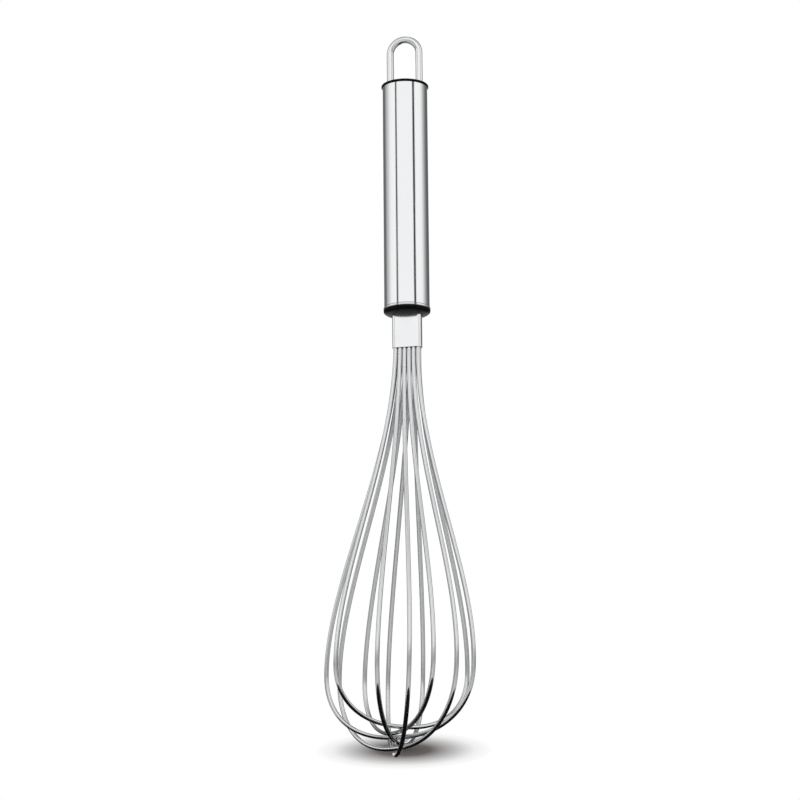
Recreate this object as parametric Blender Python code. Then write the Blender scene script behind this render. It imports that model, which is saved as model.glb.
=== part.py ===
"""Balloon whisk: a round tube handle with a hanging loop, a flat ferrule and six nested wire loops.

Frame: metres, +Z up along the handle. The origin is the inside of the hanging loop's crown, where a hook
carries the whisk. X runs in the hanging loop's plane and along the ferrule's two rows of wire ends.
Below the ferrule, heights are written as a depth: the distance down from the ferrule's lower edge.
"""

from math import cos, pi, radians, sin

import bmesh
import bpy
from mathutils import Vector

MM = 0.001
PRESS_GAP = 0.1 * MM             # clearance modelled between pieces that are pressed or clamped together
ROUND_SEGMENTS = 64              # sides of the turned pieces
MERGE_DISTANCE = 0.001 * MM

# Hanging loop: a U of round wire whose legs pass through the top cap and turn in under it
HANG_WIRE_RADIUS = 1.5 * MM
HANG_CROWN_RADIUS = 6.2 * MM     # centreline of the crown, and half the distance between the legs
HANG_FOOT_BEND = 3.0 * MM
HANG_FOOT_Z = -27.0 * MM
HANG_FOOT_END_X = 1.2 * MM
HANG_CROWN_STEPS = 24
HANG_BEND_STEPS = 6

# Handle: a thin tube with a moulded cap pressed into each end
TUBE_RADIUS = 9.5 * MM
TUBE_WALL = 0.7 * MM
TUBE_TOP_Z = -20.4 * MM
TUBE_BOTTOM_Z = -117.0 * MM
TUBE_EDGE_ROUND = 0.25 * MM
CAP_WALL = 0.8 * MM
CAP_SKIRT_LENGTH = 6.0 * MM
TOP_LIP_RADIUS = 9.95 * MM
BOTTOM_LIP_RADIUS = 9.8 * MM
BOTTOM_DOME_DROP = 2.8 * MM      # how far the bottom cap's middle hangs below its lip
DOME_STEPS = 8
LIP_ROUND = 0.2 * MM

# Ferrule: a flattened sleeve that clamps two rows of six wire ends
WIRE_RADIUS = 0.9 * MM
WIRE_PITCH = 1.9 * MM            # between neighbours in a row, and between the rows
WIRES_IN_ROW = 6
FERRULE_WALL = 0.4 * MM
FERRULE_TOP_Z = -104.7 * MM
FERRULE_BOTTOM_Z = -134.1 * MM
FERRULE_CORNER = 1.6 * MM
CORNER_STEPS = 6
WIRE_END_Z = -103.7 * MM

# Resin plug: poured round the ferrule's upper end, inside the handle
PLUG_TOP_Z = -102.5 * MM
PLUG_BOTTOM_Z = -110.8 * MM

# Balloon: every loop leaves its two slots, swells to the same radius and closes at its own depth
BALLOON_RADIUS = 31.7 * MM
WIDEST_DEPTH = 132.2 * MM
OUTER_TIP_DEPTH = 167.2 * MM
NEST_STEP = 2.2 * MM             # each loop closes this much inside the last one
THROAT_PULL = 47.2 * MM          # how long a wire keeps straight below the ferrule
SHOULDER_PULL = 37.4 * MM        # how long it keeps straight above the widest depth
TIP_SQUARENESS = 2.3             # exponent of the tip's superellipse, where 2 is an ellipse
BALLOON_LEAN = 4.7 * MM          # the tip is set off the handle's axis by this much, towards -X
THROAT_STEPS = 16
TIP_STEPS = 30

# Each loop's azimuth in degrees, from -Y towards +X, and how far its plane stands off the balloon's axis,
# from the outermost loop to the innermost
LOOPS = (
    (20.0, -1.2 * MM),
    (60.0, -2.6 * MM),
    (-4.5, -0.3 * MM),
    (80.5, -2.2 * MM),
    (38.0, -1.4 * MM),
    (-44.0, 0.8 * MM),
)

# Colours are linear RGB
BRIGHT_STEEL = (0.78, 0.78, 0.79)
WIRE_STEEL = (0.70, 0.70, 0.71)
BLACK_NYLON = (0.012, 0.012, 0.013)
CEMENT_GREY = (0.42, 0.41, 0.38)


# ---------------------------------------------------------------- materials and objects

def make_material(name, colour, roughness, metallic):
    """A Principled material with one colour."""
    material = bpy.data.materials.new(name)
    material.use_nodes = True
    shader = material.node_tree.nodes["Principled BSDF"]
    shader.inputs["Base Color"].default_value = (*colour, 1.0)
    shader.inputs["Roughness"].default_value = roughness
    shader.inputs["Metallic"].default_value = metallic
    return material


def steel(name, colour=BRIGHT_STEEL, roughness=0.15):
    """A stainless steel material for one piece."""
    return make_material(name, colour, roughness, 1.0)


def nylon(name):
    """A black nylon material for one cap."""
    return make_material(name, BLACK_NYLON, 0.35, 0.0)


def add_object(name, data, material):
    """Links a mesh or curve to the scene as one named object with its own material."""
    data.materials.append(material)
    new_object = bpy.data.objects.new(name, data)
    bpy.context.scene.collection.objects.link(new_object)
    return new_object


def finish_mesh(name, bm, material, crease_angle=radians(30.0)):
    """Turns a bmesh into an object, shaded smooth except across real edges."""
    bmesh.ops.remove_doubles(bm, verts=bm.verts, dist=MERGE_DISTANCE)
    bmesh.ops.recalc_face_normals(bm, faces=bm.faces)
    mesh = bpy.data.meshes.new(name)
    bm.to_mesh(mesh)
    bm.free()
    mesh.shade_smooth()
    mesh.set_sharp_from_angle(angle=crease_angle)
    return add_object(name, mesh, material)


def arc(centre, radius, start, end, steps):
    """Points on a circular arc in a plane, both ends included, with angles in degrees."""
    angles = [radians(start + (end - start) * step / steps) for step in range(steps + 1)]
    return [(centre[0] + radius * cos(angle), centre[1] + radius * sin(angle)) for angle in angles]


# ---------------------------------------------------------------- solids

def turned(name, profile, material, closed):
    """Spins a profile of (radius, height) points about Z.

    A closed profile makes a ring. An open one starts and ends on the axis.
    """
    bm = bmesh.new()
    points = [bm.verts.new((radius, 0.0, height)) for radius, height in profile]
    pairs = list(zip(points, points[1:]))
    if closed:
        pairs.append((points[-1], points[0]))
    edges = [bm.edges.new(pair) for pair in pairs]
    bmesh.ops.spin(bm, geom=points + edges, cent=(0.0, 0.0, 0.0), axis=(0.0, 0.0, 1.0),
                   angle=2.0 * pi, steps=ROUND_SEGMENTS, use_merge=True)
    return finish_mesh(name, bm, material)


def flat_oval(width, depth, corner):
    """The (x, y) outline of a rectangle with round corners, counterclockwise."""
    across = width / 2.0 - corner
    along = depth / 2.0 - corner
    outline = []
    for x_side, y_side, start in ((1, 1, 0.0), (-1, 1, 90.0), (-1, -1, 180.0), (1, -1, 270.0)):
        outline += arc((x_side * across, y_side * along), corner, start, start + 90.0, CORNER_STEPS)
    return outline


def ring_of(bm, outline, height):
    """A closed loop of edges along an outline at one height."""
    points = [bm.verts.new((x, y, height)) for x, y in outline]
    return [bm.edges.new((point, points[(place + 1) % len(points)])) for place, point in enumerate(points)]


def prism(bm, outline, bottom, top):
    """A closed solid between two heights."""
    rings = [ring_of(bm, outline, height) for height in (bottom, top)]
    bmesh.ops.bridge_loops(bm, edges=rings[0] + rings[1])
    for ring in rings:
        bmesh.ops.edgeloop_fill(bm, edges=ring)


def wire(name, path, radius, resolution, material):
    """A round wire with flat ends along a list of points."""
    curve = bpy.data.curves.new(name, "CURVE")
    curve.dimensions = "3D"
    curve.bevel_depth = radius
    curve.bevel_resolution = resolution
    curve.use_fill_caps = True
    spline = curve.splines.new("POLY")
    spline.points.add(len(path) - 1)
    for point, place in zip(spline.points, path):
        point.co = (*place, 1.0)
    return add_object(name, curve, material)


def cut(target, cutter):
    """Takes a cutter's shape out of a solid."""
    cutter.hide_render = True
    cutter.display_type = "WIRE"
    cutter.hide_set(True)
    boolean = target.modifiers.new(f"cut_{cutter.name}", "BOOLEAN")
    boolean.operation = "DIFFERENCE"
    boolean.solver = "EXACT"
    boolean.object = cutter


def prism_cutter(name, outline, bottom, top):
    """A solid for cutting a straight hole."""
    bm = bmesh.new()
    prism(bm, outline, bottom, top)
    return finish_mesh(name, bm, make_material(name, CEMENT_GREY, 0.5, 0.0))


# ---------------------------------------------------------------- handle

def hanging_loop():
    """The U of wire, from the tip of one foot over the crown to the tip of the other."""
    crown_z = HANG_WIRE_RADIUS - HANG_CROWN_RADIUS
    bend_x = HANG_CROWN_RADIUS - HANG_FOOT_BEND
    bend_z = HANG_FOOT_Z + HANG_FOOT_BEND
    right_half = [(HANG_FOOT_END_X, HANG_FOOT_Z)]
    right_half += arc((bend_x, bend_z), HANG_FOOT_BEND, -90.0, 0.0, HANG_BEND_STEPS)
    crown = arc((0.0, crown_z), HANG_CROWN_RADIUS, 0.0, 180.0, HANG_CROWN_STEPS)
    left_half = [(-x, z) for x, z in reversed(right_half)]
    path = [(x, 0.0, z) for x, z in right_half + crown + left_half]
    return wire("hanging_loop", path, HANG_WIRE_RADIUS, 4, steel("loop_steel"))


def cap_profile(lip_radius, lip_z, outward):
    """Half the section of a cap's lip and skirt, from the outer face's rim to the inner face.

    outward is +1 where the cap's outer face looks up and -1 where it looks down. The lip lies on the tube's
    end, and the skirt runs into the tube.
    """
    skirt_outer = TUBE_RADIUS - TUBE_WALL - PRESS_GAP
    skirt_inner = skirt_outer - CAP_WALL
    seat = lip_z - outward * CAP_WALL
    skirt_end = seat - outward * CAP_SKIRT_LENGTH
    round_centre = (lip_radius - LIP_ROUND, lip_z - outward * LIP_ROUND)
    rim = [(x, round_centre[1] + outward * (z - round_centre[1]))
           for x, z in arc(round_centre, LIP_ROUND, 90.0, 0.0, 3)]
    return rim + [
        (lip_radius, seat),
        (skirt_outer, seat),
        (skirt_outer, skirt_end),
        (skirt_inner, skirt_end),
        (skirt_inner, seat),
    ]


def handle_top_cap():
    """A flat cap with two holes for the hanging loop's legs."""
    lip_z = TUBE_TOP_Z + PRESS_GAP + CAP_WALL
    seat_z = TUBE_TOP_Z + PRESS_GAP
    profile = [(0.0, lip_z)] + cap_profile(TOP_LIP_RADIUS, lip_z, 1) + [(0.0, seat_z)]
    cap = turned("handle_top_cap", profile, nylon("top_cap_nylon"), closed=False)
    hole_radius = HANG_WIRE_RADIUS + PRESS_GAP
    for side, label in ((-1, "left"), (1, "right")):
        outline = arc((side * HANG_CROWN_RADIUS, 0.0), hole_radius, 0.0, 345.0, 23)
        cut(cap, prism_cutter(f"{label}_leg_hole", outline, seat_z - CAP_WALL, lip_z + CAP_WALL))
    return cap


def handle_tube():
    """The plain round tube, its two outer edges slightly rounded."""
    inner = TUBE_RADIUS - TUBE_WALL
    edge = TUBE_EDGE_ROUND
    top_edge = arc((TUBE_RADIUS - edge, TUBE_TOP_Z - edge), edge, 90.0, 0.0, 3)
    bottom_edge = arc((TUBE_RADIUS - edge, TUBE_BOTTOM_Z + edge), edge, 0.0, -90.0, 3)
    profile = [(inner, TUBE_TOP_Z)] + top_edge + bottom_edge + [(inner, TUBE_BOTTOM_Z)]
    return turned("handle_tube", profile, steel("tube_steel"), closed=True)


def dome(rim_radius, rim_z, drop, reach):
    """Points of a dome that hangs below its rim, half an ellipse, from the axis out to reach."""
    radii = [reach * sin(pi / 2.0 * step / DOME_STEPS) for step in range(DOME_STEPS + 1)]
    return [(radius, rim_z - drop * (1.0 - (radius / rim_radius) ** 2) ** 0.5) for radius in radii]


def ferrule_size(gap):
    """Width and depth of the ferrule's outside, grown by a gap all round."""
    width = (WIRES_IN_ROW - 1) * WIRE_PITCH + 2.0 * (WIRE_RADIUS + PRESS_GAP + FERRULE_WALL + gap)
    depth = WIRE_PITCH + 2.0 * (WIRE_RADIUS + PRESS_GAP + FERRULE_WALL + gap)
    return width, depth


def handle_bottom_cap():
    """A domed cap with a slot that the ferrule comes out of."""
    seat_z = TUBE_BOTTOM_Z - PRESS_GAP
    lip_z = seat_z - CAP_WALL
    skirt_inner = TUBE_RADIUS - TUBE_WALL - PRESS_GAP - CAP_WALL
    outer_dome = dome(BOTTOM_LIP_RADIUS, lip_z, BOTTOM_DOME_DROP, BOTTOM_LIP_RADIUS - LIP_ROUND)
    inner_dome = dome(skirt_inner, seat_z, BOTTOM_DOME_DROP - CAP_WALL, skirt_inner)
    rim_and_skirt = cap_profile(BOTTOM_LIP_RADIUS, lip_z, -1)
    profile = outer_dome[:-1] + rim_and_skirt[:-1] + inner_dome[::-1]
    cap = turned("handle_bottom_cap", profile, nylon("bottom_cap_nylon"), closed=False)
    slot = flat_oval(*ferrule_size(PRESS_GAP), FERRULE_CORNER + PRESS_GAP)
    cut(cap, prism_cutter("ferrule_slot", slot, lip_z - 2.0 * BOTTOM_DOME_DROP, seat_z + CAP_WALL))
    return cap


def resin_plug():
    """The plug that seals the handle and holds the ferrule's upper end."""
    radius = TUBE_RADIUS - TUBE_WALL - PRESS_GAP
    profile = [(0.0, PLUG_TOP_Z), (radius, PLUG_TOP_Z), (radius, PLUG_BOTTOM_Z), (0.0, PLUG_BOTTOM_Z)]
    plug = turned("resin_plug", profile, make_material("resin", CEMENT_GREY, 0.6, 0.0), closed=False)
    slot = flat_oval(*ferrule_size(PRESS_GAP), FERRULE_CORNER + PRESS_GAP)
    cut(plug, prism_cutter("plug_slot", slot, PLUG_BOTTOM_Z - CAP_WALL, PLUG_TOP_Z + CAP_WALL))
    return plug


# ---------------------------------------------------------------- ferrule and balloon

def ferrule():
    """The flattened sleeve, open at both ends."""
    width, depth = ferrule_size(0.0)
    inside = flat_oval(width - 2.0 * FERRULE_WALL, depth - 2.0 * FERRULE_WALL, FERRULE_CORNER - FERRULE_WALL)
    outside = flat_oval(width, depth, FERRULE_CORNER)
    bm = bmesh.new()
    corners = [(outside, FERRULE_BOTTOM_Z), (outside, FERRULE_TOP_Z), (inside, FERRULE_TOP_Z),
               (inside, FERRULE_BOTTOM_Z)]
    rings = [ring_of(bm, outline, height) for outline, height in corners]
    for place, ring in enumerate(rings):
        bmesh.ops.bridge_loops(bm, edges=ring + rings[(place + 1) % len(rings)])
    return finish_mesh("ferrule", bm, steel("ferrule_steel", roughness=0.3))


def lean(depth):
    """How far the balloon's own axis has moved towards -X at a depth."""
    return Vector((-BALLOON_LEAN * max(0.0, depth / OUTER_TIP_DEPTH), 0.0))


def wire_point(across, depth):
    """A point in space from an (x, y) place off the balloon's axis and a depth."""
    place = across + lean(depth)
    return Vector((place.x, place.y, FERRULE_BOTTOM_Z - depth))


def throat(slot, offset, outward):
    """One branch from its slot down to the widest depth, as a cubic whose two ends point straight down."""
    widest = offset + outward * BALLOON_RADIUS
    points = []
    for step in range(THROAT_STEPS + 1):
        t = step / THROAT_STEPS
        swell = t * t * (3.0 - 2.0 * t)
        depth = (3.0 * (1.0 - t) ** 2 * t * THROAT_PULL
                 + 3.0 * (1.0 - t) * t ** 2 * (WIDEST_DEPTH - SHOULDER_PULL)
                 + t ** 3 * WIDEST_DEPTH)
        points.append(wire_point(slot.lerp(widest, swell), depth))
    return points


def tip(offset, outward, tip_depth):
    """The round end of a loop, from the front branch's widest point to the back branch's."""
    power = 2.0 / TIP_SQUARENESS
    points = []
    for step in range(1, TIP_STEPS):
        angle = pi * step / TIP_STEPS
        side = 1.0 if cos(angle) >= 0.0 else -1.0
        across = offset + outward * (side * BALLOON_RADIUS * abs(cos(angle)) ** power)
        points.append(wire_point(across, WIDEST_DEPTH + (tip_depth - WIDEST_DEPTH) * sin(angle) ** power))
    return points


def slot_places():
    """The front slot and the back slot of each loop.

    In the front row the loops stand from left to right in the order in which their front branches fan out,
    and in the back row the other way round, so no two branches cross.
    """
    order = sorted(range(len(LOOPS)), key=lambda loop: sin(radians(LOOPS[loop][0])))
    middle = (WIRES_IN_ROW - 1) / 2.0
    places = {}
    for column, loop in enumerate(order):
        x = (column - middle) * WIRE_PITCH
        places[loop] = (Vector((x, -WIRE_PITCH / 2.0)), Vector((-x, WIRE_PITCH / 2.0)))
    return places


def wire_loops():
    """The six loops, each one length of wire clamped at both ends."""
    places = slot_places()
    for loop, (azimuth, stand_off) in enumerate(LOOPS):
        outward = Vector((sin(radians(azimuth)), -cos(radians(azimuth))))
        offset = stand_off * Vector((-outward.y, outward.x))
        front_slot, back_slot = places[loop]
        tip_depth = OUTER_TIP_DEPTH - loop * NEST_STEP
        path = [Vector((*front_slot, WIRE_END_Z))]
        path += throat(front_slot, offset, outward)
        path += tip(offset, outward, tip_depth)
        path += reversed(throat(back_slot, offset, -outward))
        path.append(Vector((*back_slot, WIRE_END_Z)))
        wire(f"wire_loop_{loop + 1}", path, WIRE_RADIUS, 2, steel(f"wire_steel_{loop + 1}", WIRE_STEEL))


def main():
    """Clears the scene and models the whisk."""
    for old_object in list(bpy.data.objects):
        bpy.data.objects.remove(old_object)
    hanging_loop()
    handle_top_cap()
    handle_tube()
    handle_bottom_cap()
    resin_plug()
    ferrule()
    wire_loops()


main()
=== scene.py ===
"""Looks of the balloon whisk: polished steel, black end caps and a white studio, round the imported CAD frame.

Everything is in metres in the CAD frame, +Z up along the handle. The origin is the inside of the hanging
loop's crown. Sizes come from the frame's boxes, and the wires repeat the route that the CAD loops follow.
"""

import logging
from dataclasses import dataclass
from enum import Enum
from math import cos, pi, radians, sin
from typing import Any, Callable, Iterable, Sequence

import bpy
from mathutils import Matrix, Vector


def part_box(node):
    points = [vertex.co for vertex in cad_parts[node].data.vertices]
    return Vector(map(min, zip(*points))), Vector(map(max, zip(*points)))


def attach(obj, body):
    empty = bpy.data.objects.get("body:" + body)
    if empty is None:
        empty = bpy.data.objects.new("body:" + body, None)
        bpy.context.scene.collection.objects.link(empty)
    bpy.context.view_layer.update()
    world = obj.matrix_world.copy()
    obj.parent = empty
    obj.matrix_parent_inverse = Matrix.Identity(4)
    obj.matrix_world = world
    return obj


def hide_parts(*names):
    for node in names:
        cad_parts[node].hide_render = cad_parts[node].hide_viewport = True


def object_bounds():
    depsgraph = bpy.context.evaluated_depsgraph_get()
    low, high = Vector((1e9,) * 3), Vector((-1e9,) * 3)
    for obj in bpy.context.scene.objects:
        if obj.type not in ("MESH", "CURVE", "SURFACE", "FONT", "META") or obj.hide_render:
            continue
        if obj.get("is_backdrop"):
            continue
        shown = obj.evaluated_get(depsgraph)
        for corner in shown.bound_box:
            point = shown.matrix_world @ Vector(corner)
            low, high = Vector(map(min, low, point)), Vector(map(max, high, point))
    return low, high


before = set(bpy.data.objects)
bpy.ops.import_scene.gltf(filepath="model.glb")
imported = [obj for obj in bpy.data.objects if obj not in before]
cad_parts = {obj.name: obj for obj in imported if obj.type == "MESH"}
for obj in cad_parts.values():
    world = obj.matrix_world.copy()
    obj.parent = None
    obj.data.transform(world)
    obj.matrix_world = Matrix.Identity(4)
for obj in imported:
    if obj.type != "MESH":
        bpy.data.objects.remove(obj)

MM = 0.001
MERGE_DISTANCE = 0.001 * MM
STAGE_SIDES = 96
STAGE_DROP = 1.0 * MM            # how far the floor and the card lie below the whisk
WHITE = (1.0, 1.0, 1.0, 1.0)
LOG = logging.getLogger("whisk")


class Slot(Enum):
    """The record's material slots."""

    LOOP = "hanging_loop"
    CAPS = "caps"
    TUBE = "handle_tube"
    RESIN = "resin"
    FERRULE = "ferrule"
    WIRE = "whisk_wire"


class Facing(Enum):
    """Which way a cap's outer face looks."""

    UP = 1
    DOWN = -1


# ---------------------------------------------------------------- colours and nodes

def linear(colour: str, alpha: float = 1.0) -> tuple[float, float, float, float]:
    """Turns an sRGB hex colour into linear RGBA.

    Args:
        colour: Six hex digits after a #.
        alpha: The fourth value.

    Returns:
        The colour as Blender's sockets take it.
    """
    channels = [int(colour[place:place + 2], 16) / 255.0 for place in (1, 3, 5)]
    red, green, blue = [c / 12.92 if c <= 0.04045 else ((c + 0.055) / 1.055) ** 2.4 for c in channels]
    return red, green, blue, alpha


def add_node(tree: bpy.types.NodeTree, kind: str, links: dict[Any, Any] | None = None,
             values: dict[Any, Any] | None = None, **settings: Any) -> bpy.types.Node:
    """Adds a node, sets it up and links what feeds it.

    Args:
        tree: The node tree.
        kind: The node's type name.
        links: Output sockets by the name or place of the input that they feed.
        values: Constants by the name or place of the input.
        **settings: The node's own properties.

    Returns:
        The new node.
    """
    node = tree.nodes.new(kind)
    for name, value in settings.items():
        setattr(node, name, value)
    for name, value in (values or {}).items():
        node.inputs[name].default_value = value
    for name, socket in (links or {}).items():
        tree.links.new(socket, node.inputs[name])
    return node


def set_stops(ramp: bpy.types.Node, stops: Sequence[tuple[float, float]]) -> None:
    """Gives a colour ramp grey stops.

    Args:
        ramp: A Color Ramp node.
        stops: Pairs of position and grey level, in order.
    """
    elements = ramp.color_ramp.elements
    while len(elements) > 1:
        elements.remove(elements[-1])
    for number, (position, level) in enumerate(stops):
        element = elements[0] if number == 0 else elements.new(position)
        element.position = position
        element.color = (level, level, level, 1.0)


def new_material(name: str) -> tuple[bpy.types.Material, bpy.types.NodeTree]:
    """Makes a node material.

    Args:
        name: Its name.

    Returns:
        The material and its node tree.
    """
    material = bpy.data.materials.new(name)
    material.use_nodes = True
    return material, material.node_tree


def two_tones(tree: bpy.types.NodeTree, factor: bpy.types.NodeSocket, first: str,
              second: str) -> bpy.types.NodeSocket:
    """Mixes two colours.

    Args:
        tree: The node tree.
        factor: How much of the second colour.
        first: The first sRGB hex colour.
        second: The second.

    Returns:
        The mixed colour.
    """
    mix = add_node(tree, "ShaderNodeMix", {"Factor": factor}, data_type="RGBA")
    mix.inputs["A"].default_value = linear(first)
    mix.inputs["B"].default_value = linear(second)
    return mix.outputs["Result"]


# ---------------------------------------------------------------- finishes

@dataclass(frozen=True)
class SteelFinish:
    """Stainless steel, 18/10, with the marks that its last working step leaves.

    Polishing runs along the piece, so the fine lines are long in one direction. They are far too fine to
    show one by one, so they are drawn a little coarser than real and only stir the highlights.

    Attributes:
        name: The material's name.
        colour: Reflected colour.
        roughness: The smoothest and the roughest spots.
        line_mm: Distance between neighbouring polishing lines, in mm.
        stretch: How many times longer than wide the lines are.
        line_depth: Bump strength of the lines.
        cloud_mm: Size of the soft patches of handling haze, in mm.
        lay: The attribute whose vector runs along the wire, or nothing for Object coordinates.
    """

    name: str
    colour: str = "#DCDDDE"
    roughness: tuple[float, float] = (0.07, 0.13)
    line_mm: float = 0.25
    stretch: float = 60.0
    line_depth: float = 0.02
    cloud_mm: float = 9.0
    lay: str = ""

    def build(self) -> bpy.types.Material:
        """Makes the material.

        Returns:
            A node material for the pieces of this finish.
        """
        material, tree = new_material(self.name)
        shader = tree.nodes["Principled BSDF"]
        shader.inputs["Base Color"].default_value = linear(self.colour)
        shader.inputs["Metallic"].default_value = 1.0
        if self.lay:
            place = add_node(tree, "ShaderNodeAttribute", attribute_name=self.lay).outputs["Vector"]
        else:
            place = add_node(tree, "ShaderNodeTexCoord").outputs["Object"]
        per_line = 1.0 / (self.line_mm * MM)
        lines_place = add_node(tree, "ShaderNodeMapping", {"Vector": place},
                               {"Scale": (per_line, per_line, per_line / self.stretch)})
        lines = add_node(tree, "ShaderNodeTexNoise", {"Vector": lines_place.outputs["Vector"]},
                         {"Scale": 1.0, "Detail": 3.0, "Roughness": 0.6})
        clouds = add_node(tree, "ShaderNodeTexNoise", {"Vector": place},
                          {"Scale": 1.0 / (self.cloud_mm * MM), "Detail": 4.0, "Roughness": 0.55})
        mixed = add_node(tree, "ShaderNodeMath", {0: lines.outputs["Fac"], 1: clouds.outputs["Fac"]},
                         operation="MULTIPLY")
        smoothest, roughest = self.roughness
        spread = add_node(tree, "ShaderNodeMapRange", {"Value": mixed.outputs["Value"]},
                          {"From Min": 0.1, "From Max": 0.45, "To Min": smoothest, "To Max": roughest})
        bump = add_node(tree, "ShaderNodeBump", {"Height": lines.outputs["Fac"]},
                        {"Strength": self.line_depth, "Distance": self.line_mm * MM})
        tree.links.new(spread.outputs["Result"], shader.inputs["Roughness"])
        tree.links.new(bump.outputs["Normal"], shader.inputs["Normal"])
        return material


@dataclass(frozen=True)
class ResinFinish:
    """Filled epoxy, poured and left matt, with fine grains of its mineral filler.

    Attributes:
        name: The material's name.
        colour: The resin between the grains.
        grain_colour: The filler.
        grain_mm: Size of a grain, in mm.
        roughness: Of the poured face.
        grain_depth: Bump strength of the grains.
    """

    name: str = "filled_epoxy"
    colour: str = "#A9A79F"
    grain_colour: str = "#8B8981"
    grain_mm: float = 0.4
    roughness: float = 0.62
    grain_depth: float = 0.3

    def build(self) -> bpy.types.Material:
        """Makes the material.

        Returns:
            A node material for the plug.
        """
        material, tree = new_material(self.name)
        shader = tree.nodes["Principled BSDF"]
        shader.inputs["Roughness"].default_value = self.roughness
        place = add_node(tree, "ShaderNodeTexCoord").outputs["Object"]
        grains = add_node(tree, "ShaderNodeTexNoise", {"Vector": place},
                          {"Scale": 1.0 / (self.grain_mm * MM), "Detail": 5.0})
        colours = two_tones(tree, grains.outputs["Fac"], self.colour, self.grain_colour)
        bump = add_node(tree, "ShaderNodeBump", {"Height": grains.outputs["Fac"]},
                        {"Strength": self.grain_depth, "Distance": self.grain_mm * MM})
        tree.links.new(colours, shader.inputs["Base Color"])
        tree.links.new(bump.outputs["Normal"], shader.inputs["Normal"])
        return material


@dataclass(frozen=True)
class NylonFinish:
    """Black nylon, moulded, with the faint orange peel that a moulded face keeps.

    Attributes:
        name: The material's name.
        colour: Its colour.
        worn_colour: Where handling has dulled it.
        roughness: The glossiest and the dullest spots.
        peel_mm: Size of the orange peel, in mm.
        peel_depth: Its bump strength.
        sheen: Specular level, set well below nylon's own so that the cap stays black beside the steel.
    """

    name: str = "moulded_black_nylon"
    colour: str = "#070708"
    worn_colour: str = "#0E0E0F"
    roughness: tuple[float, float] = (0.22, 0.32)
    peel_mm: float = 0.8
    peel_depth: float = 0.05
    sheen: float = 0.08

    def build(self) -> bpy.types.Material:
        """Makes the material.

        Returns:
            A node material for the caps.
        """
        material, tree = new_material(self.name)
        shader = tree.nodes["Principled BSDF"]
        shader.inputs["Specular IOR Level"].default_value = self.sheen
        place = add_node(tree, "ShaderNodeTexCoord").outputs["Object"]
        peel = add_node(tree, "ShaderNodeTexNoise", {"Vector": place},
                        {"Scale": 1.0 / (self.peel_mm * MM), "Detail": 2.0})
        colours = two_tones(tree, peel.outputs["Fac"], self.colour, self.worn_colour)
        glossiest, dullest = self.roughness
        spread = add_node(tree, "ShaderNodeMapRange", {"Value": peel.outputs["Fac"]},
                          {"From Min": 0.3, "From Max": 0.7, "To Min": glossiest, "To Max": dullest})
        bump = add_node(tree, "ShaderNodeBump", {"Height": peel.outputs["Fac"]},
                        {"Strength": self.peel_depth, "Distance": self.peel_mm * MM})
        tree.links.new(colours, shader.inputs["Base Color"])
        tree.links.new(spread.outputs["Result"], shader.inputs["Roughness"])
        tree.links.new(bump.outputs["Normal"], shader.inputs["Normal"])
        return material


# Drawn wire: pulled through a die and tumbled, so it is smooth but mirrors its surroundings softly.
WHISK_WIRE = SteelFinish("drawn_steel_wire", "#D2D3D4", (0.10, 0.16), 0.12, 80.0, 0.02, 6.0, "wire_lay")
LOOP_WIRE = SteelFinish("bent_steel_wire", "#DCDDDE", (0.05, 0.1), 0.15, 60.0, 0.01, 6.0, "wire_lay")
# Polished tube: buffed along its length to a near mirror, with faint long buffing lines.
TUBE_STEEL = SteelFinish("polished_steel_tube", "#DDDEDF", (0.06, 0.13), 0.3, 90.0, 0.02, 12.0)
# Ferrule: rolled strip left satin, so it takes one even tone across its flat face.
FERRULE_STEEL = SteelFinish("satin_steel_ferrule", "#E0E1E2", (0.12, 0.18), 0.25, 40.0, 0.02, 5.0)
RESIN = ResinFinish()
# Caps: nylon moulded black through and through, with the slight unevenness that a mould leaves.
CAP_NYLON = NylonFinish()


# ---------------------------------------------------------------- modelling helpers

def deselect_all() -> None:
    """Leaves edit mode and selects nothing."""
    if bpy.context.object and bpy.context.object.mode != "OBJECT":
        bpy.ops.object.mode_set(mode="OBJECT")
    bpy.ops.object.select_all(action="DESELECT")


def pick_faces(piece: bpy.types.Object, wanted: Callable[[bpy.types.MeshPolygon], bool]) -> None:
    """Enters edit mode with only the wanted faces selected.

    Args:
        piece: The active mesh object.
        wanted: Tells for one face whether it is selected.
    """
    if bpy.context.object.mode != "EDIT":
        bpy.ops.object.mode_set(mode="EDIT")
    bpy.ops.mesh.select_mode(type="FACE")
    bpy.ops.mesh.select_all(action="DESELECT")
    bpy.ops.object.mode_set(mode="OBJECT")
    for face in piece.data.polygons:
        face.select = wanted(face)
    bpy.ops.object.mode_set(mode="EDIT")


def modify(piece: bpy.types.Object, kind: str, **settings: Any) -> None:
    """Adds a modifier and applies it.

    Args:
        piece: The mesh object.
        kind: The modifier's type.
        **settings: Its properties.
    """
    deselect_all()
    piece.select_set(True)
    bpy.context.view_layer.objects.active = piece
    modifier = piece.modifiers.new(kind.title(), kind)
    for name, value in settings.items():
        setattr(modifier, name, value)
    bpy.ops.object.modifier_apply(modifier=modifier.name)


def round_edges(piece: bpy.types.Object, width: float, segments: int = 3) -> None:
    """Bevels a piece's real edges.

    Args:
        piece: The mesh object.
        width: Width of the bevel in metres.
        segments: Faces across the bevel.
    """
    modify(piece, "BEVEL", width=width, segments=segments, limit_method="ANGLE",
           angle_limit=radians(35.0), harden_normals=False)


def cut_away(piece: bpy.types.Object, cutter: bpy.types.Object) -> None:
    """Cuts one piece with another and removes the cutter.

    Args:
        piece: The mesh that stays.
        cutter: The mesh that is cut away.
    """
    modify(piece, "BOOLEAN", operation="DIFFERENCE", object=cutter, solver="EXACT")
    bpy.data.objects.remove(cutter)


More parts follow.
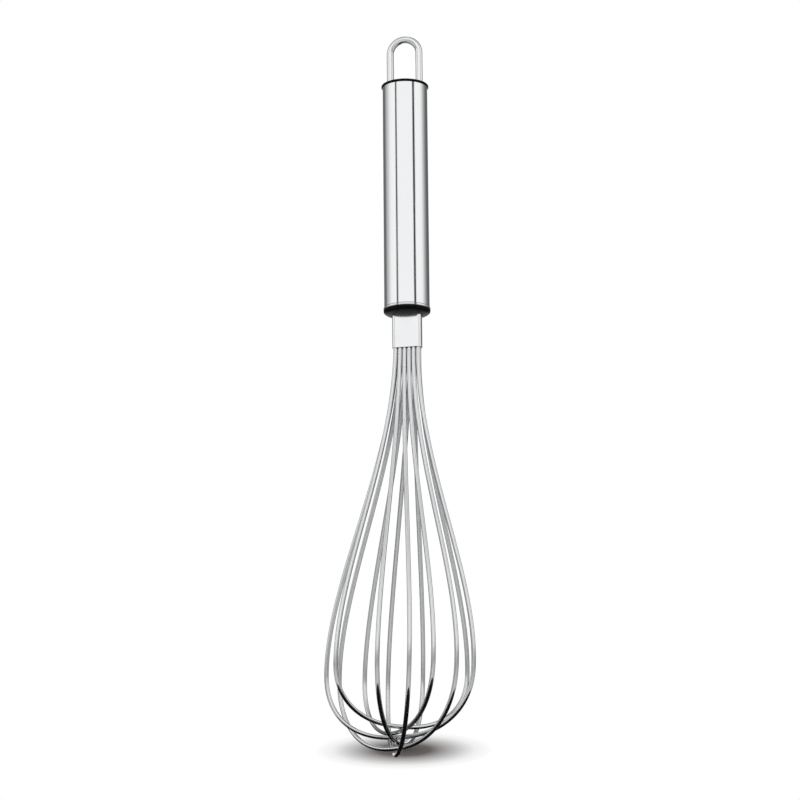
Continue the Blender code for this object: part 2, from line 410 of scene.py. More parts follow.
def finish_shape(piece: bpy.types.Object, name: str, crease: float = 30.0) -> bpy.types.Object:
    """Names a piece, closes its mesh, points its faces outwards and puts its place into its mesh.

    Args:
        piece: The mesh object.
        name: Its final name.
        crease: The angle in degrees past which an edge stays sharp.

    Returns:
        The same object.
    """
    deselect_all()
    piece.select_set(True)
    bpy.context.view_layer.objects.active = piece
    bpy.ops.object.transform_apply(location=True, rotation=True, scale=True)
    bpy.ops.object.mode_set(mode="EDIT")
    bpy.ops.mesh.select_all(action="SELECT")
    bpy.ops.mesh.remove_doubles(threshold=MERGE_DISTANCE)
    bpy.ops.mesh.normals_make_consistent(inside=False)
    bpy.ops.object.mode_set(mode="OBJECT")
    bpy.ops.object.shade_smooth_by_angle(angle=radians(crease))
    modify(piece, "WEIGHTED_NORMAL", keep_sharp=True, weight=100)
    piece.name = name
    piece.data.name = name
    return piece


def arc(centre: tuple[float, float], radius: float, start: float, end: float,
        steps: int) -> list[tuple[float, float]]:
    """Points on a circular arc, both ends included.

    Args:
        centre: The arc's centre.
        radius: Its radius.
        start: First angle in degrees.
        end: Last angle in degrees.
        steps: Number of stretches.

    Returns:
        The points in the arc's plane.
    """
    angles = [radians(start + (end - start) * step / steps) for step in range(steps + 1)]
    return [(centre[0] + radius * cos(angle), centre[1] + radius * sin(angle)) for angle in angles]


def bent_wire(name: str, path: Sequence[Vector], radius: float, sides: int) -> bpy.types.Object:
    """A round wire along a path, with an attribute that follows its length.

    The wire_lay attribute holds the place on the wire as if it were straight: across in X and Y, along in Z.

    Args:
        name: The piece's name.
        path: The centreline.
        radius: The wire's radius.
        sides: Faces round the wire, an even number.

    Returns:
        The wire as a mesh.
    """
    deselect_all()
    bpy.ops.curve.primitive_nurbs_path_add()
    wire = bpy.context.object
    curve = wire.data
    curve.splines.clear()
    spline = curve.splines.new("POLY")
    spline.points.add(len(path) - 1)
    for point, place in zip(spline.points, path):
        point.co = (*place, 1.0)
    curve.dimensions = "3D"
    curve.twist_mode = "MINIMUM"
    curve.bevel_depth = radius
    curve.bevel_resolution = (sides - 4) // 2
    curve.use_fill_caps = True
    bpy.ops.object.convert(target="MESH")
    wire = finish_shape(bpy.context.object, name)
    lay = wire.data.attributes.new("wire_lay", "FLOAT_VECTOR", "POINT")
    along = 0.0
    rings = []
    for number, place in enumerate(path):
        along += (place - path[number - 1]).length if number else 0.0
        rings.append(along)
    for vertex in wire.data.vertices:
        ring, side = divmod(vertex.index, sides)
        turn = 2.0 * pi * side / sides
        distance = rings[min(ring, len(rings) - 1)]
        lay.data[vertex.index].vector = (radius * cos(turn), radius * sin(turn), distance)
    return wire


def flat_oval_prism(width: float, depth: float, corner: float, bottom: float,
                    top: float) -> bpy.types.Object:
    """An upright block with round corners.

    Args:
        width: Size along X.
        depth: Size along Y.
        corner: Corner radius.
        bottom: Lowest height.
        top: Highest height.

    Returns:
        The block as a mesh.
    """
    deselect_all()
    bpy.ops.mesh.primitive_cube_add(size=1.0, location=(0.0, 0.0, (bottom + top) / 2.0),
                                    scale=(width, depth, top - bottom))
    block = bpy.context.object
    bpy.ops.object.transform_apply(location=True, rotation=False, scale=True)
    bpy.ops.object.mode_set(mode="EDIT")
    bpy.ops.mesh.select_mode(type="EDGE")
    bpy.ops.mesh.select_all(action="DESELECT")
    bpy.ops.object.mode_set(mode="OBJECT")
    for edge in block.data.edges:
        low, high = [block.data.vertices[index].co for index in edge.vertices]
        edge.select = (low.xy - high.xy).length < 10.0 * MERGE_DISTANCE
    bpy.ops.object.mode_set(mode="EDIT")
    bpy.ops.mesh.bevel(offset=corner, segments=10, affect="EDGES")
    bpy.ops.object.mode_set(mode="OBJECT")
    return block


# ---------------------------------------------------------------- sub-assemblies

@dataclass
class Piece:
    """One finished mesh and what it stands for.

    Attributes:
        shape: The mesh object.
        node: The CAD node that it replaces, or nothing for a piece that is added to one.
        slot: Its material slot.
        finish: Its material.
    """

    shape: bpy.types.Object
    node: str
    slot: Slot
    finish: bpy.types.Material

    def fit(self) -> None:
        """Dresses the piece and ties it to the frame."""
        self.shape.data.materials.clear()
        self.shape.data.materials.append(self.finish)
        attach(self.shape, "root")
        if self.node:
            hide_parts(self.node)
        LOG.info("%s: %d faces, %s", self.shape.name, len(self.shape.data.polygons), self.finish.name)


@dataclass
class Handle:
    """The tube with a cap in each end, the hanging loop and the plug that seals the lower end.

    Attributes:
        wall: The tube's wall.
        sheet: Wall of the caps.
        gap: Clearance between pressed pieces.
        loop_wire_radius: Radius of the hanging loop's wire.
        loop_crown_radius: Radius of the crown's centreline.
        loop_foot_bend: Radius of the bends under the top cap.
        loop_foot_end: How far from the middle the feet end.
        dish_depth: How far the top cap's middle is sunk.
        lip_round: Radius of the top cap's round rim.
        ring_wall: Wall of the bright ring at the tube's lower end.
        dome_wall: Height of the lower cap's upright edge, above its dome.
        ring_gap: Clearance between that ring and the cap inside it.
        ring_edge: Width of the ring's rounded edges.
        tube_edge: Width of the tube's rounded edges.
        cap_edge: Width of the caps' rounded edges.
        plug_edge: Width of the plug's rounded edges.
        dish_border: Width of the top cap's flat border.
        dish_slope: Width of the slope inside it.
        slot_corner: Radius of the corners of the ferrule's slots.
        dome_rings: Rings of faces down the lower cap's dome.
        round_sides: Faces round the turned pieces.
        hole_sides: Faces round a leg's hole.
        loop_sides: Faces round the hanging loop's wire.
        bend_steps: Stretches along one of the loop's foot bends.
        leg_steps: Stretches along one of its legs.
        crown_steps: Stretches along its crown.
    """

    wall: float = 0.7 * MM
    sheet: float = 0.8 * MM
    gap: float = 0.1 * MM
    loop_wire_radius: float = 1.5 * MM
    loop_crown_radius: float = 6.2 * MM
    loop_foot_bend: float = 3.0 * MM
    loop_foot_end: float = 1.2 * MM
    dish_depth: float = 0.3 * MM
    lip_round: float = 0.25 * MM
    ring_wall: float = 0.4 * MM
    dome_wall: float = 0.6 * MM
    ring_gap: float = 0.02 * MM
    ring_edge: float = 0.14 * MM
    tube_edge: float = 0.25 * MM
    cap_edge: float = 0.15 * MM
    plug_edge: float = 0.2 * MM
    dish_border: float = 0.9 * MM
    dish_slope: float = 0.6 * MM
    slot_corner: float = 1.7 * MM
    dome_rings: int = 14
    round_sides: int = 128
    hole_sides: int = 48
    loop_sides: int = 40
    bend_steps: int = 24
    leg_steps: int = 8
    crown_steps: int = 96

    def __post_init__(self) -> None:
        """Reads the handle's outer sizes from the frame."""
        tube_low, tube_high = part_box("handle_tube")
        self.tube_radius = tube_high.x
        self.tube_top, self.tube_bottom = tube_high.z, tube_low.z
        self.ferrule_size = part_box("ferrule")[1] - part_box("ferrule")[0]

    def lip_disc(self, radius: float, middle: float) -> bpy.types.Object:
        """A disc as thick as a cap's wall, with a round rim.

        Args:
            radius: The disc's radius.
            middle: Height of its middle.

        Returns:
            The disc as a mesh.
        """
        deselect_all()
        bpy.ops.mesh.primitive_cylinder_add(vertices=self.round_sides, radius=radius, depth=self.sheet,
                                            location=(0.0, 0.0, middle))
        disc = bpy.context.object
        bpy.ops.object.transform_apply(location=True, rotation=False, scale=False)
        bpy.ops.object.mode_set(mode="EDIT")
        bpy.ops.mesh.select_mode(type="EDGE")
        bpy.ops.mesh.select_all(action="DESELECT")
        bpy.ops.mesh.edges_select_sharp(sharpness=radians(60.0))
        bpy.ops.mesh.bevel(offset=self.lip_round, segments=6, affect="EDGES")
        bpy.ops.object.mode_set(mode="OBJECT")
        return disc

    def press_skirt(self, cap: bpy.types.Object, radius: float, depth: float, facing: Facing) -> None:
        """Draws the skirt that runs into the tube out of a cap's inner face.

        Args:
            cap: The cap's disc.
            radius: Radius of its flat inner face.
            depth: Length of the skirt.
            facing: Which way the cap's outer face looks.
        """
        skirt = self.tube_radius - self.wall - self.gap
        down = -facing.value
        pick_faces(cap, lambda face: face.normal.z * down > 0.9 and face.area > radius ** 2)
        bpy.ops.mesh.inset(thickness=radius - skirt)
        bpy.ops.mesh.extrude_region_move(TRANSFORM_OT_translate={"value": (0.0, 0.0, down * depth)})
        bpy.ops.mesh.inset(thickness=self.sheet)
        bpy.ops.mesh.extrude_region_move(TRANSFORM_OT_translate={"value": (0.0, 0.0, -down * depth)})
        bpy.ops.object.mode_set(mode="OBJECT")

    def tube(self) -> bpy.types.Object:
        """The round tube.

        Returns:
            The tube as a closed mesh with rounded ends.
        """
        deselect_all()
        bpy.ops.mesh.primitive_cylinder_add(
            vertices=self.round_sides, radius=self.tube_radius, depth=self.tube_top - self.tube_bottom,
            end_fill_type="NOTHING", location=(0.0, 0.0, (self.tube_top + self.tube_bottom) / 2.0))
        tube = bpy.context.object
        modify(tube, "SOLIDIFY", thickness=self.wall, offset=-1.0, use_even_offset=True)
        round_edges(tube, self.tube_edge)
        return finish_shape(tube, "polished_tube")

    def top_cap(self) -> bpy.types.Object:
        """The upper cap: a rounded lip, a shallow dish and two holes for the hanging loop.

        Returns:
            The cap as a closed mesh.
        """
        low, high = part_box("handle_top_cap")
        radius = high.x
        cap = self.lip_disc(radius, high.z - self.sheet / 2.0)
        self.press_skirt(cap, radius - self.lip_round, high.z - self.sheet - low.z, Facing.UP)
        pick_faces(cap, lambda face: face.normal.z > 0.9 and face.area > radius ** 2)
        bpy.ops.mesh.inset(thickness=self.dish_border)
        bpy.ops.mesh.inset(thickness=self.dish_slope)
        bpy.ops.transform.translate(value=(0.0, 0.0, -self.dish_depth))
        bpy.ops.object.mode_set(mode="OBJECT")
        for side in (-1.0, 1.0):
            deselect_all()
            bpy.ops.mesh.primitive_cylinder_add(
                vertices=self.hole_sides, radius=self.loop_wire_radius + self.gap, depth=6.0 * self.sheet,
                location=(side * self.loop_crown_radius, 0.0, high.z))
            cut_away(cap, bpy.context.object)
        round_edges(cap, self.cap_edge)
        return finish_shape(cap, "top_cap", 40.0)

    def bottom_cap(self) -> bpy.types.Object:
        """The lower cap: a lip, a dome that hangs below it and the slot for the ferrule.

        Returns:
            The cap as a closed mesh.
        """
        low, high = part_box("handle_bottom_cap")
        lip_radius = high.x - self.ring_wall
        radius = high.x - self.gap
        seat = self.tube_bottom - self.gap
        lip = seat - self.sheet
        drop = self.dome_drop(radius, lip, low.z)
        deselect_all()
        bpy.ops.mesh.primitive_cylinder_add(vertices=self.round_sides, radius=lip_radius, depth=self.sheet,
                                            location=(0.0, 0.0, seat - self.sheet / 2.0))
        cap = bpy.context.object
        bpy.ops.object.transform_apply(location=True, rotation=False, scale=False)
        self.press_skirt(cap, lip_radius, high.z - seat, Facing.DOWN)
        pick_faces(cap, lambda face: face.normal.z < -0.9 and face.area > lip_radius ** 2)
        swell = radius / lip_radius
        bpy.ops.mesh.extrude_region_move(TRANSFORM_OT_translate={"value": (0.0, 0.0, 0.0)})
        bpy.ops.transform.resize(value=(swell, swell, 1.0))
        bpy.ops.mesh.extrude_region_move(TRANSFORM_OT_translate={"value": (0.0, 0.0, -self.dome_wall)})
        reach, height = radius, lip - self.dome_wall
        for ring in range(1, self.dome_rings):
            turn = pi / 2.0 * ring / self.dome_rings
            next_reach = radius * cos(turn)
            next_height = lip - self.dome_wall - (drop - self.dome_wall) * sin(turn)
            bpy.ops.mesh.inset(thickness=reach - next_reach)
            bpy.ops.transform.translate(value=(0.0, 0.0, next_height - height))
            reach, height = next_reach, next_height
        bpy.ops.object.mode_set(mode="OBJECT")
        cut_away(cap, self.ferrule_slot(lip - 2.0 * drop, seat + 2.0 * self.sheet))
        round_edges(cap, self.cap_edge)
        return finish_shape(cap, "bottom_cap", 40.0)

    def end_ring(self) -> bpy.types.Object:
        """The bright ring at the tube's lower end, round the bottom cap's neck.

        Returns:
            The ring as a closed mesh.
        """
        seat = self.tube_bottom - self.gap
        deselect_all()
        bpy.ops.mesh.primitive_cylinder_add(
            vertices=self.round_sides, radius=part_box("handle_bottom_cap")[1].x, depth=self.sheet,
            end_fill_type="NOTHING", location=(0.0, 0.0, seat - self.sheet / 2.0))
        ring = bpy.context.object
        modify(ring, "SOLIDIFY", thickness=self.ring_wall - self.ring_gap, offset=-1.0, use_even_offset=True)
        round_edges(ring, self.ring_edge)
        return finish_shape(ring, "tube_end_ring")

    def ferrule_slot(self, bottom: float, top: float) -> bpy.types.Object:
        """The cutter for the slot that the ferrule passes through.

        Args:
            bottom: Lowest height.
            top: Highest height.

        Returns:
            The cutter as a mesh.
        """
        return flat_oval_prism(self.ferrule_size.x + 2.0 * self.gap, self.ferrule_size.y + 2.0 * self.gap,
                               self.slot_corner, bottom, top)

    def dome_drop(self, radius: float, lip: float, lowest: float) -> float:
        """How far the whole elliptic dome hangs, from the lowest point that is left round the slot.

        Args:
            radius: The dome's rim radius.
            lip: The rim's height.
            lowest: The cap's lowest point in the frame.

        Returns:
            The drop at the axis.
        """
        slot_edge = (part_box("ferrule")[1].y + self.gap) / radius
        return (lip - lowest) / (1.0 - slot_edge ** 2) ** 0.5

    def plug(self) -> bpy.types.Object:
        """The resin plug round the ferrule's upper end.

        Returns:
            The plug as a closed mesh.
        """
        low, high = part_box("resin_plug")
        deselect_all()
        bpy.ops.mesh.primitive_cylinder_add(vertices=self.round_sides, radius=high.x, depth=high.z - low.z,
                                            location=(0.0, 0.0, (low.z + high.z) / 2.0))
        plug = bpy.context.object
        cut_away(plug, self.ferrule_slot(low.z - self.sheet, high.z + self.sheet))
        round_edges(plug, self.plug_edge)
        return finish_shape(plug, "epoxy_plug")

    def hanging_loop(self) -> bpy.types.Object:
        """The U of wire whose legs pass through the top cap and turn in under it.

        Returns:
            The loop as a closed mesh.
        """
        crown_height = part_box("hanging_loop")[1].z - self.loop_wire_radius - self.loop_crown_radius
        foot_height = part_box("hanging_loop")[0].z + self.loop_wire_radius
        bend = (self.loop_crown_radius - self.loop_foot_bend, foot_height + self.loop_foot_bend)
        right = [(self.loop_foot_end, foot_height)] + arc(bend, self.loop_foot_bend, -90.0, 0.0,
                                                             self.bend_steps)
        leg_top = right[-1]
        leg = [(leg_top[0], leg_top[1] + (crown_height - leg_top[1]) * step / self.leg_steps)
               for step in range(1, self.leg_steps)]
        crown = arc((0.0, crown_height), self.loop_crown_radius, 0.0, 180.0, self.crown_steps)
        left = [(-x, z) for x, z in reversed(right + leg)]
        path = [Vector((x, 0.0, z)) for x, z in right + leg + crown + left]
        return bent_wire("loop_of_wire", path, self.loop_wire_radius, self.loop_sides)

    def build(self) -> list[Piece]:
        """Builds and dresses the handle.

        Returns:
            Its pieces.
        """
        caps = CAP_NYLON.build()
        tube = TUBE_STEEL.build()
        return [
            Piece(self.hanging_loop(), "hanging_loop", Slot.LOOP, LOOP_WIRE.build()),
            Piece(self.top_cap(), "handle_top_cap", Slot.CAPS, caps),
            Piece(self.tube(), "handle_tube", Slot.TUBE, tube),
            Piece(self.end_ring(), "", Slot.TUBE, tube),
            Piece(self.bottom_cap(), "handle_bottom_cap", Slot.CAPS, caps),
            Piece(self.plug(), "resin_plug", Slot.RESIN, RESIN.build()),
        ]


@dataclass
class Ferrule:
    """The flattened sleeve that clamps the twelve wire ends.

    Attributes:
        wall: Its wall.
        corner: Radius of its upright edges.
        rim_round: Width of the rounded rims.
    """

    wall: float = 0.4 * MM
    corner: float = 1.6 * MM
    rim_round: float = 0.12 * MM

    def build(self) -> list[Piece]:
        """Builds and dresses the sleeve.

        Returns:
            Its one piece.
        """
        low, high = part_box("ferrule")
        sleeve = flat_oval_prism(high.x - low.x, high.y - low.y, self.corner, low.z, high.z)
        pick_faces(sleeve, lambda face: abs(face.normal.z) > 0.9)
        bpy.ops.mesh.delete(type="FACE")
        bpy.ops.object.mode_set(mode="OBJECT")
        modify(sleeve, "SOLIDIFY", thickness=self.wall, offset=-1.0, use_even_offset=True)
        round_edges(sleeve, self.rim_round)
        finish_shape(sleeve, "flat_ferrule", 40.0)
        return [Piece(sleeve, "ferrule", Slot.FERRULE, FERRULE_STEEL.build())]


@dataclass
class Balloon:
    """Six nested loops of wire that repeat the route of the CAD loops.

    Attributes:
        wire_radius: The wire's radius.
        pitch: Distance between neighbouring slots in the ferrule, and between its two rows.
        radius: How far a branch swings out from the balloon's axis.
        widest_depth: Depth of the widest place below the ferrule.
        outer_tip_depth: Depth at which the outermost loop closes.
        nest_step: How much sooner each next loop closes.
        throat_pull: How long a wire keeps straight below the ferrule.
        shoulder_pull: How long it keeps straight above the widest place.
        tip_squareness: Exponent of the tip's superellipse.
        lean: How far the tip stands off the handle's axis, towards -X.
        wire_end: How far above the ferrule the wires end.
        steps: Stretches along a throat. A tip has twice as many.
        sides: Faces round a wire.
        loops: Each loop's azimuth in degrees and its plane's distance from the axis, outermost first.
    """

    wire_radius: float = 0.9 * MM
    pitch: float = 1.9 * MM
    radius: float = 31.7 * MM
    widest_depth: float = 132.2 * MM
    outer_tip_depth: float = 167.2 * MM
    nest_step: float = 2.2 * MM
    throat_pull: float = 47.2 * MM
    shoulder_pull: float = 37.4 * MM
    tip_squareness: float = 2.3
    lean: float = 4.7 * MM
    wire_end: float = 1.0 * MM
    steps: int = 64
    sides: int = 24
    loops: tuple[tuple[float, float], ...] = (
        (20.0, -1.2 * MM),
        (60.0, -2.6 * MM),
        (-4.5, -0.3 * MM),
        (80.5, -2.2 * MM),
        (38.0, -1.4 * MM),
        (-44.0, 0.8 * MM),
    )

    def __post_init__(self) -> None:
        """Reads where the wires leave the ferrule and where they end inside it."""
        low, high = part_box("ferrule")
        self.mouth = low.z
        self.ends = high.z + self.wire_end

    def wire_point(self, across: Vector, depth: float) -> Vector:
        """A point in space from a place off the balloon's axis and a depth below the ferrule."""
        shift = -self.lean * max(0.0, depth / self.outer_tip_depth)
        return Vector((across.x + shift, across.y, self.mouth - depth))

    def throat(self, slot: Vector, offset: Vector, outward: Vector) -> list[Vector]:
        """One branch from its slot down to the widest place.

        Args:
            slot: The (x, y) place in the ferrule.
            offset: How far the loop's plane stands off the axis.
            outward: The direction in which the branch swings out.

        Returns:
            Points of a cubic whose two ends point straight down.
        """
        widest = offset + outward * self.radius
        points = []
        for step in range(self.steps + 1):
            t = step / self.steps
            swell = t * t * (3.0 - 2.0 * t)
            depth = (3.0 * (1.0 - t) ** 2 * t * self.throat_pull
                     + 3.0 * (1.0 - t) * t ** 2 * (self.widest_depth - self.shoulder_pull)
                     + t ** 3 * self.widest_depth)
            points.append(self.wire_point(slot.lerp(widest, swell), depth))
        return points

    def tip(self, offset: Vector, outward: Vector, tip_depth: float) -> list[Vector]:
        """The round end of a loop.

        Args:
            offset: How far the loop's plane stands off the axis.
            outward: The direction of the front branch.
            tip_depth: Depth at which the loop closes.

        Returns:
            Points from the front branch's widest place to the back branch's, without those two.
        """
        power = 2.0 / self.tip_squareness
        reach = tip_depth - self.widest_depth
        tip_steps = 2 * self.steps
        points = []
        for step in range(1, tip_steps):
            angle = pi * step / tip_steps
            side = 1.0 if cos(angle) >= 0.0 else -1.0
            across = offset + outward * (side * self.radius * abs(cos(angle)) ** power)
            points.append(self.wire_point(across, self.widest_depth + reach * sin(angle) ** power))
        return points

    def slots(self) -> dict[int, tuple[Vector, Vector]]:
        """The front and the back slot of each loop, in the order in which the branches fan out."""
        order = sorted(range(len(self.loops)), key=lambda loop: sin(radians(self.loops[loop][0])))
        middle = (len(order) - 1) / 2.0
        half = self.pitch / 2.0
        places = {}
        for column, loop in enumerate(order):
            x = (column - middle) * self.pitch
            places[loop] = (Vector((x, -half)), Vector((-x, half)))
        return places

    def route(self, loop: int) -> list[Vector]:
        """The whole centreline of one loop, from one clamped end to the other.

        Args:
            loop: Its number, from 0 for the outermost.

        Returns:
            The points of the centreline.
        """
        azimuth, stand_off = self.loops[loop]
        outward = Vector((sin(radians(azimuth)), -cos(radians(azimuth))))
        offset = stand_off * Vector((-outward.y, outward.x))
        front, back = self.slots()[loop]
        tip_depth = self.outer_tip_depth - loop * self.nest_step
        path = [Vector((*front, self.ends))]
        path += self.throat(front, offset, outward)
        path += self.tip(offset, outward, tip_depth)
        path += reversed(self.throat(back, offset, -outward))
        path.append(Vector((*back, self.ends)))
        return path

    def build(self) -> list[Piece]:
        """Builds and dresses the six loops.

        Returns:
            One piece for each loop.
        """
        steel = WHISK_WIRE.build()
        pieces = []
        for loop in range(len(self.loops)):
            wire = bent_wire(f"balloon_wire_{loop + 1}", self.route(loop), self.wire_radius, self.sides)
            pieces.append(Piece(wire, f"wire_loop_{loop + 1}", Slot.WIRE, steel))
        return pieces


# ---------------------------------------------------------------- studio and camera

@dataclass
class Studio:
    """White studio: light panels round the whisk, dark flags between them, and a black card below the tip.

    Attributes:
        azimuth: The direction that the panels face, in degrees from -Y towards +X.
        panel_light: Brightness of the panels as the steel sees them.
        panels: Grey level by azimuth in degrees from the camera's side, towards the right.
        heights: Grey level by the height of a direction, from -1 straight down to 1 straight up.
        floor_slope: How far the floor tips towards the camera, in degrees.
        floor_radius: Radius of the floor.
        shadow_size: Half the width and half the depth of the soft shadow under the tip.
        shadow_place: The shadow's middle on the floor, to the right of the tip and behind it.
        shadow_colour: Its darkest colour.
        card_radius: Radius of the black card that the lower wires mirror.
        card_colour: Its colour.
        softness: How dark the shadow is from its edge, at 0, to its middle, at 1.
    """

    azimuth: float = 12.0
    panel_light: float = 1.5
    panels: tuple[tuple[float, float], ...] = (
        (-180.0, 0.75),
        (-166.0, 0.75),
        (-158.0, 0.12),
        (-128.0, 0.12),
        (-116.0, 0.34),
        (-106.0, 0.46),
        (-97.0, 0.56),
        (-88.0, 0.74),
        (-75.0, 0.80),
        (-54.0, 0.82),
        (-51.0, 0.05),
        (-46.0, 0.05),
        (-42.0, 0.80),
        (35.5, 0.80),
        (38.5, 0.03),
        (46.0, 0.03),
        (50.0, 0.82),
        (80.0, 0.80),
        (89.0, 0.72),
        (97.0, 0.55),
        (106.0, 0.36),
        (116.0, 0.22),
        (128.0, 0.10),
        (158.0, 0.10),
        (166.0, 0.75),
        (180.0, 0.75),
    )
    heights: tuple[tuple[float, float], ...] = (
        (-1.0, 0.55),
        (-0.60, 0.60),
        (-0.40, 0.68),
        (-0.12, 0.70),
        (0.0, 0.62),
        (0.08, 0.48),
        (0.165, 0.52),
        (0.235, 1.00),
        (0.58, 1.00),
        (0.72, 0.80),
        (1.0, 0.60),
    )
    floor_slope: float = 20.0
    floor_radius: float = 0.16
    shadow_size: tuple[float, float] = (36.0 * MM, 34.0 * MM)
    shadow_place: tuple[float, float] = (-3.0 * MM, 16.0 * MM)
    shadow_colour: str = "#4A4341"
    card_radius: float = 95.0 * MM
    card_colour: str = "#0A0A0A"
    softness: tuple[tuple[float, float], ...] = (
        (0.0, 0.0),
        (0.2, 0.14),
        (0.45, 0.55),
        (0.7, 0.93),
        (1.0, 1.0),
    )

    def world(self) -> None:
        """Makes the world: white to look at, and panels and flags for the steel to mirror."""
        world = bpy.data.worlds.new("studio")
        bpy.context.scene.world = world
        world.use_nodes = True
        tree = world.node_tree
        tree.nodes.clear()
        look = add_node(tree, "ShaderNodeTexCoord").outputs["Generated"]
        turned = add_node(tree, "ShaderNodeMapping", {"Vector": look},
                          {"Rotation": (0.0, 0.0, radians(90.0 - self.azimuth))})
        around = add_node(tree, "ShaderNodeTexGradient", {"Vector": turned.outputs["Vector"]},
                          gradient_type="RADIAL")
        panels = add_node(tree, "ShaderNodeValToRGB", {"Fac": around.outputs["Fac"]})
        set_stops(panels, [(0.5 + azimuth / 360.0, level) for azimuth, level in self.panels])
        parts = add_node(tree, "ShaderNodeSeparateXYZ", {"Vector": look})
        height = add_node(tree, "ShaderNodeMapRange", {"Value": parts.outputs["Z"]},
                          {"From Min": -1.0, "From Max": 1.0})
        heights = add_node(tree, "ShaderNodeValToRGB", {"Fac": height.outputs["Result"]})
        set_stops(heights, [(0.5 + 0.5 * place, level) for place, level in self.heights])
        light = add_node(tree, "ShaderNodeMix", data_type="RGBA", blend_type="MULTIPLY")
        light.inputs["Factor"].default_value = 1.0
        tree.links.new(panels.outputs["Color"], light.inputs["A"])
        tree.links.new(heights.outputs["Color"], light.inputs["B"])
        mirrored = add_node(tree, "ShaderNodeBackground", {"Color": light.outputs["Result"]},
                            {"Strength": self.panel_light})
        seen = add_node(tree, "ShaderNodeBackground", values={"Color": WHITE})
        ray = add_node(tree, "ShaderNodeLightPath")
        both = add_node(tree, "ShaderNodeMixShader", {0: ray.outputs["Is Camera Ray"],
                                                      1: mirrored.outputs["Background"],
                                                      2: seen.outputs["Background"]})
        add_node(tree, "ShaderNodeOutputWorld", {"Surface": both.outputs["Shader"]})

    def floor_material(self) -> bpy.types.Material:
        """White floor with a soft pool of shadow where the tip comes near it.

        Returns:
            A node material that shows nothing from behind.
        """
        material, tree = new_material("studio_floor")
        tree.nodes.clear()
        place = add_node(tree, "ShaderNodeTexCoord").outputs["Object"]
        width, depth = self.shadow_size
        right, behind = self.shadow_place
        pool = add_node(tree, "ShaderNodeMapping", {"Vector": place},
                        {"Scale": (1.0 / width, 1.0 / depth, 0.0),
                         "Location": (-right / width, -behind / depth, 0.0)})
        round_pool = add_node(tree, "ShaderNodeTexGradient", {"Vector": pool.outputs["Vector"]},
                              gradient_type="SPHERICAL")
        softness = add_node(tree, "ShaderNodeValToRGB", {"Fac": round_pool.outputs["Fac"]})
        set_stops(softness, self.softness)
        colour = add_node(tree, "ShaderNodeMix", {"Factor": softness.outputs["Color"]}, data_type="RGBA")
        colour.inputs["A"].default_value = WHITE
        colour.inputs["B"].default_value = linear(self.shadow_colour)
        lit = add_node(tree, "ShaderNodeEmission", {"Color": colour.outputs["Result"]})
        clear = add_node(tree, "ShaderNodeBsdfTransparent")
        back = add_node(tree, "ShaderNodeNewGeometry").outputs["Backfacing"]
        sides = add_node(tree, "ShaderNodeMixShader", {0: back, 1: lit.outputs["Emission"],
                                                       2: clear.outputs["BSDF"]})
        add_node(tree, "ShaderNodeOutputMaterial", {"Surface": sides.outputs["Shader"]})
        return material

    def floor(self, lowest: float) -> None:
        """Lays the floor just under the tip, tipped towards the camera.

        Args:
            lowest: The whisk's lowest height.
        """
        deselect_all()
        about = Matrix.Rotation(radians(self.azimuth), 4, "Z")
        tipped = Matrix.Rotation(radians(self.floor_slope), 4, "X")
        bpy.ops.mesh.primitive_circle_add(vertices=STAGE_SIDES, radius=self.floor_radius, fill_type="NGON")
        floor = bpy.context.object
        floor.name = "studio_floor"
        floor.matrix_world = Matrix.Translation((0.0, 0.0, lowest - STAGE_DROP)) @ about @ tipped
        floor.data.materials.append(self.floor_material())
        floor.visible_glossy = False
        floor.visible_diffuse = False
        floor.visible_shadow = False
        floor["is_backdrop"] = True

    def card(self, lowest: float) -> None:
        """Lays a black card under the tip, which is seen only as the steel mirrors it.

        Args:
            lowest: The whisk's lowest height.
        """
        deselect_all()
        bpy.ops.mesh.primitive_circle_add(vertices=STAGE_SIDES, radius=self.card_radius, fill_type="NGON",
                                          location=(0.0, 0.0, lowest - STAGE_DROP))
        card = bpy.context.object
        card.name = "studio_card"
        material, tree = new_material("black_card")
        tree.nodes.clear()
        black = add_node(tree, "ShaderNodeEmission", values={"Color": linear(self.card_colour)})
        add_node(tree, "ShaderNodeOutputMaterial", {"Surface": black.outputs["Emission"]})
        card.data.materials.append(material)
        card.visible_camera = False
        card.visible_diffuse = False
        card.visible_shadow = False
        card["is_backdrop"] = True

    def build(self, lowest: float) -> None:
        """Sets up the light and the floor.

        Args:
            lowest: The whisk's lowest height.
        """
        self.world()
        self.floor(lowest)
        self.card(lowest)
        bpy.context.scene.view_settings.view_transform = "Standard"
        LOG.info("studio: %d panels and flags", len(self.panels))


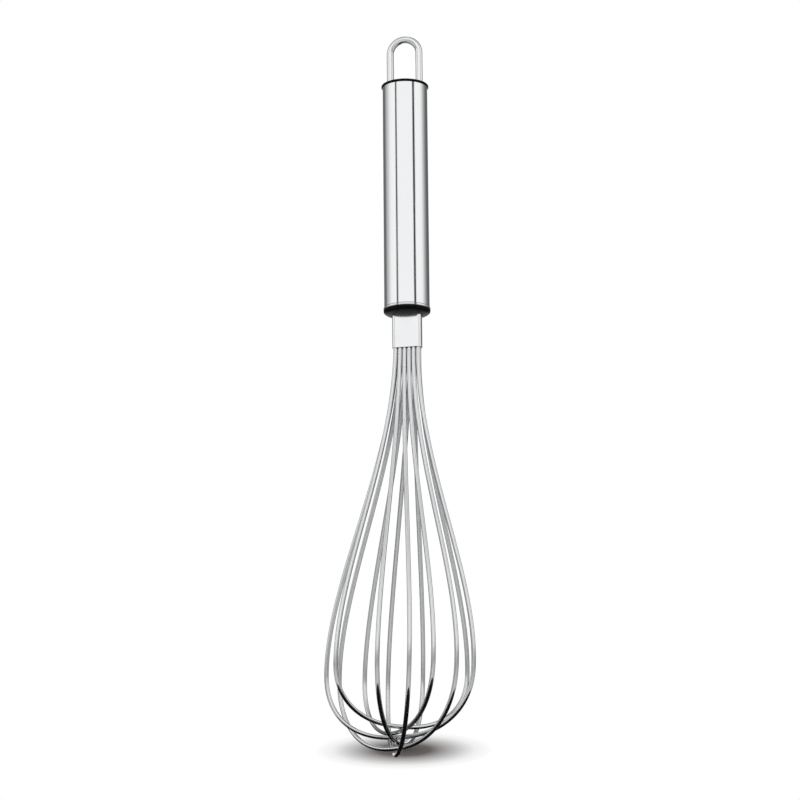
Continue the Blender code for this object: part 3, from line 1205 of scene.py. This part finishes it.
@dataclass
class Viewpoint:
    """The camera: below the whisk's middle, looking up along it.

    Attributes:
        target: What it looks at.
        azimuth: Its direction in degrees from -Y towards +X.
        elevation: Its height in degrees.
        distance: Its distance from the target.
        roll: How far it is turned about its own axis, in degrees.
        lens: Focal length in mm on a 36 mm sensor.
        shift: Shift of the frame, in parts of its width.
    """

    target: tuple[float, float, float] = (0.0, 0.0, -0.15)
    azimuth: float = 12.0
    elevation: float = -14.48
    distance: float = 1.15
    roll: float = -0.555
    lens: float = 125.96
    shift: tuple[float, float] = (-0.0097, -0.0180)

    def build(self) -> None:
        """Creates the camera and makes it the scene's own."""
        camera = bpy.data.cameras.new("camera")
        camera.sensor_width = 36.0
        camera.lens = self.lens
        camera.shift_x, camera.shift_y = self.shift
        camera.clip_start = 0.01
        holder = bpy.data.objects.new("camera", camera)
        bpy.context.scene.collection.objects.link(holder)
        around, up = radians(self.azimuth), radians(self.elevation)
        away = Vector((sin(around) * cos(up), -cos(around) * cos(up), sin(up)))
        right = Vector((cos(around), sin(around), 0.0))
        above = away.cross(right)
        turn = radians(self.roll)
        frame_right = right * cos(turn) + above * sin(turn)
        frame_up = above * cos(turn) - right * sin(turn)
        axes = Matrix((frame_right, frame_up, away)).transposed().to_4x4()
        holder.matrix_world = Matrix.Translation(Vector(self.target) + away * self.distance) @ axes
        bpy.context.scene.camera = holder


def main() -> None:
    """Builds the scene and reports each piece."""
    logging.basicConfig(level=logging.INFO, format="%(name)s: %(message)s")
    cad_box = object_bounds()
    Viewpoint().build()
    Studio().build(cad_box[0][2])
    for assembly in (Handle(), Ferrule(), Balloon()):
        for piece in assembly.build():
            piece.fit()


if __name__ == "__main__":
    main()
